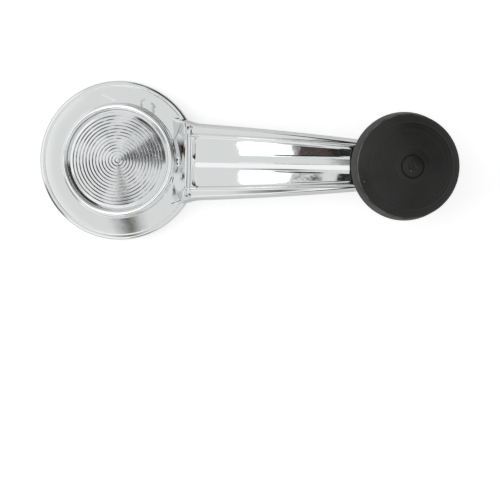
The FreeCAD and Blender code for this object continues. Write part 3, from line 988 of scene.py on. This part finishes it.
def build_specks(tree, ins):
    """Dust: scattered round specks where a cell is near its point, thinned by noise."""
    cells = node(tree, "ShaderNodeTexVoronoi", {"Vector": own_place(tree), "Scale": ins["Scale"]})
    thin = ramp(tree, object_noise(tree, 260, 1.0), 0.53, 0.6)
    return {"Mask": times(tree, ramp(tree, cells, ins["Size"], 0.0), thin)}


polish = group("polished plate", [("Waves", 1.0), ("Ripples", 0.1), ("Polish", 0.04), ("Haze", 0.05)],
               ["Height", "Roughness"], build_polish)
specks = group("dust specks", [("Scale", 420.0), ("Size", 0.12)], ["Mask"], build_specks)


# Materials
def painted_face_reflection(tree):
    """Wedge of painted dark reflection on the arm's end face: its point is near the middle of the arm.

    Its half width grows with the distance from the point, and it fades towards
    the side of the arm and at its top.  The lengths are in metres.
    """
    point, length, half_width, edge = -0.4 * MM, 9.6 * MM, 1.75 * MM, 0.1 * MM
    middle_x, middle_drift = 22.4 * MM, -0.5 * MM
    low_top, high_top = 8.3 * MM, 8.6 * MM
    x, y, z = parts_of(tree, own_place(tree))
    along = sums(tree, "DIVIDE", sums(tree, "SUBTRACT", y, point), length)
    middle = sums(tree, "MULTIPLY_ADD", along, middle_drift, middle_x)
    off = sums(tree, "ABSOLUTE", sums(tree, "SUBTRACT", x, middle))
    spare = sums(tree, "SUBTRACT", times(tree, along, half_width), off)
    return times(tree, ramp(tree, spare, -edge, 2 * edge), ramp(tree, along, 1.0, 0.6),
                 ramp(tree, z, low_top, high_top))


def plating_nodes(tree):
    """Bright plate in front; duller, darker and grainier where a face looks back.

    A painted dark reflection lies as a wedge on the end face and as spots by the border's ends, and the waves
    are calm on the end face.
    """
    shared = use_group(tree, polish, Waves=2.5, Ripples=0.35, Polish=0.035, Haze=0.05)
    facing = parts_of(tree, node(tree, "ShaderNodeNewGeometry", output=1))[2]
    back = ramp(tree, facing, -0.15, -0.6)
    grain = ramp(tree, object_noise(tree, 1400, 3.0), 0.3, 0.8, 0.1, 0.3)
    rough = sums(tree, "ADD", shared["Roughness"], times(tree, back, grain))
    tint = mixed(tree, times(tree, back, 0.6), (0.87, 0.88, 0.885), (0.6, 0.6, 0.6))
    x, y, z = border_end()
    # Painted dark reflection: a brown wedge on the end face and two spots at the border's ends, broken up by
    # noise
    painted_dark_reflection = painted_face_reflection(tree)
    for centre, reach in (((x - 0.5, y, z + 0.9), (0.7, 0.7, 1.2)),
                          ((x - 0.4, -y, z + 0.9), (0.5, 0.5, 1.2))):
        painted_dark_reflection = sums(tree, "MAXIMUM", painted_dark_reflection, spot_at(tree, centre, reach))
    calm = spot_at(tree, (21.2, 0, 11.4), (4.2, 22, 6.5))
    painted_dark_reflection = times(tree, painted_dark_reflection, ramp(tree, object_noise(tree, 700, 3.0), 0.3, 0.5, 0.6, 0.97))
    # colour of the painted dark reflection
    tint = mixed(tree, painted_dark_reflection, tint, (0.075, 0.045, 0.04))
    return {"Base Color": tint, "Roughness": rough,
            "Normal": bump(tree, shared["Height"], 0.00006, sums(tree, "SUBTRACT", 1.0, calm))}


def disc_nodes(tree):
    """Turned plate: fine rings of grain, and a painted shade in the groove walls that also stands for old
    polish left there.
    """
    x, y, _ = parts_of(tree, own_place(tree))
    radius = arrows(tree, "LENGTH", [node(tree, "ShaderNodeCombineXYZ", [x, y, 0.0])], 1)
    angle = sums(tree, "ARCTAN2", y, x)
    wound = node(tree, "ShaderNodeCombineXYZ", [times(tree, radius, 5200.0), times(tree, angle, 14.0), 0.0])
    lines = node(tree, "ShaderNodeTexNoise", {"Vector": wound, "Scale": 1.0, "Detail": 2.0})
    grain = object_noise(tree, 2600, 3.0, 0.7)
    field = disc_radius - disc_rim
    grooved = ramp(tree, radius, (field + 0.15) * MM, (field - 0.05) * MM)
    height = sums(tree, "ADD", times(tree, lines, 0.5), times(tree, grain, 0.7))
    height = times(tree, height, ramp(tree, grooved, 0, 1, 0.15, 1.0))
    rough = times(tree, ramp(tree, grain, 0.3, 0.75, 0.06, 0.18), ramp(tree, grooved, 0, 1, 0.6, 1.0))
    pitch = field / disc_rings * MM
    phase = sums(tree, "FRACT", sums(tree, "DIVIDE", sums(tree, "SUBTRACT", field * MM, radius), pitch))
    # Painted shade, partly old polish: a dark band at the steep wall of each ring, patchy, only in the
    # grooved field
    wall = times(tree, ramp(tree, phase, 0.0, 0.1), ramp(tree, phase, 0.42, 0.26))
    patchy_wall_shade = ramp(tree, object_noise(tree, 190, 3.0, 0.6), 0.38, 0.6, 0.2, 1.0)
    tint = mixed(tree, times(tree, wall, patchy_wall_shade, grooved), (0.86, 0.87, 0.88), (0.05, 0.05, 0.053))
    return {"Base Color": tint, "Roughness": rough, "Normal": bump(tree, height, 0.00002)}


def plastic_nodes(tree):
    """Satin black moulding: fine skin, cloudy gloss, a pale rim edge that is worn and also a painted
    highlight, and dust.
    """
    skin = object_noise(tree, 2200, 3.0, 0.6)
    cloud = object_noise(tree, 120, 3.0)
    dust = use_group(tree, specks, Scale=330.0, Size=0.1)["Mask"]
    seat = (crank_throw * MM, 0, float(crest(crank_throw)[0]) * MM)
    axis = (math.sin(lean), 0, math.cos(lean))
    off = arrows(tree, "SUBTRACT", [own_place(tree), seat])
    radius = arrows(tree, "LENGTH", [arrows(tree, "CROSS_PRODUCT", [off, axis])], 1)
    height = arrows(tree, "DOT_PRODUCT", [off, axis], 1)
    # Pale rim edge of the cap: wear, and a painted highlight
    edge = times(tree, ramp(tree, radius, (cap_edge_r - 0.4) * MM, (cap_edge_r - 0.2) * MM),
                 ramp(tree, height, (wall_top - 0.1) * MM, (wall_top + 0.2) * MM))
    rim_wear_and_highlight = times(tree, edge, ramp(tree, object_noise(tree, 300, 3.0), 0.35, 0.6, 0.25, 1.0))
    tint = mixed(tree, ramp(tree, cloud, 0.3, 0.7), (0.011, 0.011, 0.0105), (0.017, 0.017, 0.016))
    tint = mixed(tree, rim_wear_and_highlight, tint, (0.11, 0.11, 0.1))
    tint = mixed(tree, times(tree, dust, 0.5), tint, (0.4, 0.4, 0.38))
    rough = sums(tree, "ADD", ramp(tree, cloud, 0.3, 0.7, 0.36, 0.46), times(tree, skin, 0.1))
    return {"Base Color": tint, "Roughness": rough, "Normal": bump(tree, skin, 0.00001)}


def zinc_nodes(tree):
    """Zinc plate: cloudy grey with a faint warm bloom and fine grain."""
    cloud = object_noise(tree, 500, 3.0)
    grain = object_noise(tree, 4000, 2.0)
    tint = mixed(tree, ramp(tree, cloud, 0.35, 0.7), (0.6, 0.6, 0.59), (0.68, 0.66, 0.6))
    return {"Base Color": tint, "Roughness": ramp(tree, grain, 0.3, 0.8, 0.22, 0.4),
            "Normal": bump(tree, grain, 0.000006)}


def blued_nodes(tree):
    """Blued spring steel: dark straw to blue drift and a drawn grain."""
    drift = object_noise(tree, 160, 2.0)
    grain = object_noise(tree, 900, 3.0, 0.6, (0.15, 1, 1))
    tint = mixed(tree, ramp(tree, drift, 0.35, 0.65), (0.16, 0.17, 0.2), (0.23, 0.2, 0.17))
    return {"Base Color": tint, "Roughness": ramp(tree, grain, 0.3, 0.7, 0.28, 0.45),
            "Normal": bump(tree, grain, 0.000008)}


plating = finish_material("plating", (0.87, 0.88, 0.885), plating_nodes, Metallic=1.0)
disc_plating = finish_material("disc plating", (0.86, 0.87, 0.88), disc_nodes, Metallic=1.0)
knob_plastic = finish_material("knob plastic", (0.014, 0.014, 0.014), plastic_nodes,
                               Specular_IOR_Level=0.32)
rivet_steel = finish_material("rivet steel", (0.6, 0.6, 0.59), zinc_nodes, Metallic=1.0)
spring_steel = finish_material("spring steel", (0.18, 0.18, 0.2), blued_nodes, Metallic=1.0)


# The object
def cast(name, patches):
    """One plated piece of the crank's casting."""
    return piece(name, patches, "crank", plating, "crank_casting")


slots = [((-slot_reach, slot_near, pilot_length), (slot_reach, slot_reach, slot_high)),
         ((-slot_reach, -slot_reach, pilot_length), (slot_reach, -slot_near, slot_high))]
root_half = arm_root_half * flute_outer_share
root_top = crest_height - flute_depth - arm_roof - border_drop
root_core = [((crest_start - core_inset, -root_half, core_low),
              (flange_radius - flange_lip, root_half, root_top))]

hub = cast("hub_shell", [(turned(hub_line(), serrated=True), True, False)])
arm = cast("arm_shell", arm_shell())
cast("hub_ribs", hub_ribs())
cast("arm_rib", arm_rib())
cast("knob_pad", tip_boss())
cast("border_balls", border_balls())
piece("grooved_disc", [(turned(disc_line()), True, False)], "crank",
      disc_plating, "hub_disc")
piece("shoulder_rivet", [(on_knob_axis(turned(rivet_line(), turn=96)), True, False)],
      "crank", rivet_steel, "knob_rivet")
piece("knob_shell", [(on_knob_axis(turned(knob_body_line(), turn=256)), True, True)],
      "knob", knob_plastic, "knob_body")
piece("knob_dome", [(on_knob_axis(gate_mark(turned(knob_cap_line(), turn=256))), True, False)],
      "knob", knob_plastic, "knob_cap")
piece("horseshoe_clip", clip_grid(), "clip", spring_steel, "shaft_clip")

cut_away(hub, slots + root_core)
cut_away(arm, root_core)

for name, material in (("spring_washer", spring_steel), ("head_washer", rivet_steel)):
    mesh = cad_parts[name].data
    mesh.materials.clear()
    mesh.materials.append(material)


# Stage, light and camera
def studio():
    """World: white for the camera, and for the plate a pale tent with its cards.

    Directions are read as (x/z, y/z) above the object, stirred a little by noise.
    The tent is light grey, and paler low on the left, where a bright wisp hangs;
    two bright panes hang side by side left of overhead, and dark cards stand right
    of them.  Low dark gaps lie at the far right, at the near left and straight out
    to both sides.  A smudge hangs on one side and two thin lines on the other.
    """
    world = bpy.data.worlds.new("studio")
    world.use_nodes = True
    bpy.context.scene.world = world
    tree = world.node_tree
    tree.nodes.clear()
    way = node(tree, "ShaderNodeTexCoord")
    x, y, z = parts_of(tree, way)
    high = sums(tree, "MAXIMUM", z, 0.02)
    stir = parts_of(tree, node(tree, "ShaderNodeTexNoise", {"Vector": way, "Scale": 15.0, "Detail": 3.0},
                               output=1))
    across = sums(tree, "MULTIPLY_ADD", stir[0], 0.09,
                  sums(tree, "SUBTRACT", sums(tree, "DIVIDE", x, high), 0.045))
    along = sums(tree, "MULTIPLY_ADD", stir[1], 0.04,
                 sums(tree, "SUBTRACT", sums(tree, "DIVIDE", y, high), 0.02))
    spot = node(tree, "ShaderNodeCombineXYZ", [across, along, 0.0])

    def window(x0, x1, y0, y1, edge):
        """Mask of an upright rectangle with soft edges."""
        return times(tree, ramp(tree, across, x0 - edge, x0 + edge), ramp(tree, across, x1 + edge, x1 - edge),
                     ramp(tree, along, y0 - edge, y0 + edge), ramp(tree, along, y1 + edge, y1 - edge))

    def bar(start, end, radius, edge):
        """Mask of a round-ended bar: distance from the nearest point of its line."""
        a, d = Vector((*start, 0)), Vector((*end, 0)) - Vector((*start, 0))
        offset = arrows(tree, "SUBTRACT", [spot, a])
        share = arrows(tree, "DOT_PRODUCT", [offset, d / d.length_squared], 1)
        near = arrows(tree, "SCALE", {0: d, 3: node(tree, "ShaderNodeClamp", [share])})
        return ramp(tree, arrows(tree, "DISTANCE", [offset, near], 1), radius + edge, radius - edge)

    def sector(middle, half, low, high):
        """Mask of the directions near an azimuth, from a lean of asin(low) to asin(high) on."""
        level = sums(tree, "SQRT", sums(tree, "MAXIMUM", sums(tree, "ADD", times(tree, x, x),
                                                              times(tree, y, y)), 1e-6))
        turn = math.radians(middle)
        toward = sums(tree, "ADD", times(tree, x, math.cos(turn)), times(tree, y, math.sin(turn)))
        toward = sums(tree, "DIVIDE", toward, level)
        outer, inner = math.cos(math.radians(half + 6)), math.cos(math.radians(half - 6))
        return times(tree, ramp(tree, level, low, high), ramp(tree, toward, outer, inner))

    def faint(share, start, end, radius, edge):
        """Mask of a bar that hides only a share of what lies behind it."""
        return times(tree, bar(start, end, radius, edge), share)

    black, brown, smoke = (0.02, 0.018, 0.018), (0.09, 0.066, 0.062), (0.09, 0.085, 0.07)
    pane, pale, wisp = (1.5, 1.5, 1.5), (1.02, 1.02, 1.02), (1.05, 1.05, 1.05)
    layers = [
        (sector(208, 82, 0.58, 0.76), pale),
        (bar((-0.28, 0.67), (-0.14, 0.54), 0.004, 0.014), wisp),
        (window(-0.19, 0.03, 0.024, 0.3, 0.01), pane),
        (window(-0.19, 0.03, -0.28, -0.012, 0.01), pane),
        (window(0.05, 0.23, 0.032, 0.1, 0.02), brown),
        (window(-0.05, 0.27, 0.085, 0.2, 0.012), black),
        (window(-0.05, 0.17, -0.2, -0.076, 0.012), black),
        (bar((-0.03, -0.005), (0.1, -0.025), 0.003, 0.005), black),
        (window(0.225, 0.34, -0.12, 0.12, 0.012), black),
        (bar((0.7, 0.07), (0.61, 0.38), 0.12, 0.05), black),
        (sector(40, 34, 0.585, 0.67), (0.05, 0.042, 0.04)),
        (sector(210, 11, 0.7, 0.8), black),
        (sector(77, 9, 0.78, 0.86), black),
        (sector(-76, 7, 0.84, 0.9), black),
        (ramp(tree, z, 0.3, 0.1), (0.42, 0.42, 0.41)),
        (faint(0.95, (-0.035, -0.44), (0.035, -0.72), 0.085, 0.13), smoke),
        (faint(0.8, (0.075, 0.43), (0.135, 0.6), 0.006, 0.008), smoke),
        (faint(0.8, (0.2, 0.38), (0.237, 0.57), 0.006, 0.008), smoke),
        (ramp(tree, z, 0.0, -0.05), (0.8, 0.8, 0.8)),
    ]
    sky = mixed(tree, ramp(tree, z, 0.0, 0.5), (0.62, 0.62, 0.61), (0.76, 0.77, 0.765))
    for mask, colour in layers:
        sky = mixed(tree, mask, sky, colour)
    light = node(tree, "ShaderNodeBackground", [sky, 1.0])
    plain = node(tree, "ShaderNodeBackground", [(1, 1, 1, 1), 1.0])
    seen = node(tree, "ShaderNodeLightPath")
    both = node(tree, "ShaderNodeMixShader", [seen, light, plain])
    out = tree.nodes.new("ShaderNodeOutputWorld")
    tree.links.new(both, out.inputs[0])


def floor():
    """Pale floor just under the socket, lifted to white for the camera and a little in mirrors."""
    tone, camera_lift, mirror_lift, half_size, drop = 0.62, 0.62, 0.2, 2.0, 0.05 * MM
    material = bpy.data.materials.new("floor")
    material.use_nodes = True
    tree = material.node_tree
    tree.nodes.clear()
    matt = node(tree, "ShaderNodeBsdfDiffuse", [(tone, tone, tone, 1)])
    path = tree.nodes.new("ShaderNodeLightPath")
    direct = sums(tree, "MAXIMUM", path.outputs["Is Glossy Ray"], path.outputs["Is Transmission Ray"])
    lift = sums(tree, "MAXIMUM", times(tree, path.outputs["Is Camera Ray"], camera_lift),
                times(tree, direct, mirror_lift))
    glow = node(tree, "ShaderNodeEmission", [(1, 1, 1, 1), lift])
    both = node(tree, "ShaderNodeAddShader", [matt, glow])
    out = tree.nodes.new("ShaderNodeOutputMaterial")
    tree.links.new(both, out.inputs[0])
    mesh = bpy.data.meshes.new("floor")
    work = bmesh.new()
    bmesh.ops.create_grid(work, x_segments=2, y_segments=2, size=half_size)
    bmesh.ops.translate(work, vec=(crank_throw / 2 * MM, 0, -drop), verts=work.verts)
    work.to_mesh(mesh)
    work.free()
    ground = bpy.data.objects.new("floor", mesh)
    mesh.materials.append(material)
    bpy.context.scene.collection.objects.link(ground)


def camera():
    """Camera of the photograph: nearly overhead, 0.6 m above the handle.

    The picture's focal length in pixels over its width in pixels gives the lens.
    """
    focal_px, picture_px, film = 1673.6, 500, 36.0
    rx, ry, rz = (math.radians(angle) for angle in (2.585, -0.363, -1.230))
    turn = (Matrix.Rotation(rx, 3, "X") @ Matrix.Rotation(ry, 3, "Y")
            @ Matrix.Rotation(rz, 3, "Z")).transposed()
    data = bpy.data.cameras.new("camera")
    data.sensor_width = film
    data.lens = film * focal_px / picture_px
    data.clip_start, data.clip_end = 0.01, 10.0
    made = bpy.data.objects.new("camera", data)
    made.matrix_world = Matrix.Translation((0.0502, -0.0039, 0.6)) @ turn.to_4x4()
    bpy.context.scene.collection.objects.link(made)
    bpy.context.scene.camera = made


def lamp(name, place, aim, size, power):
    """Soft square lamp at a place in mm, aimed at another; the plate doesn't mirror it."""
    data = bpy.data.lights.new(name, "AREA")
    data.shape = "SQUARE"
    data.size = size * MM
    data.energy = power
    made = bpy.data.objects.new(name, data)
    ahead = Vector(aim) - Vector(place)
    made.matrix_world = (Matrix.Translation(Vector(place) * MM)
                         @ ahead.to_track_quat("-Z", "Y").to_matrix().to_4x4())
    made.visible_glossy = False
    bpy.context.scene.collection.objects.link(made)


studio()
floor()
camera()
lamp("side window", place=(-700, 150, 420), aim=(50, 0, 10), size=900, power=4.0)
bpy.context.scene.view_settings.view_transform = "Standard"
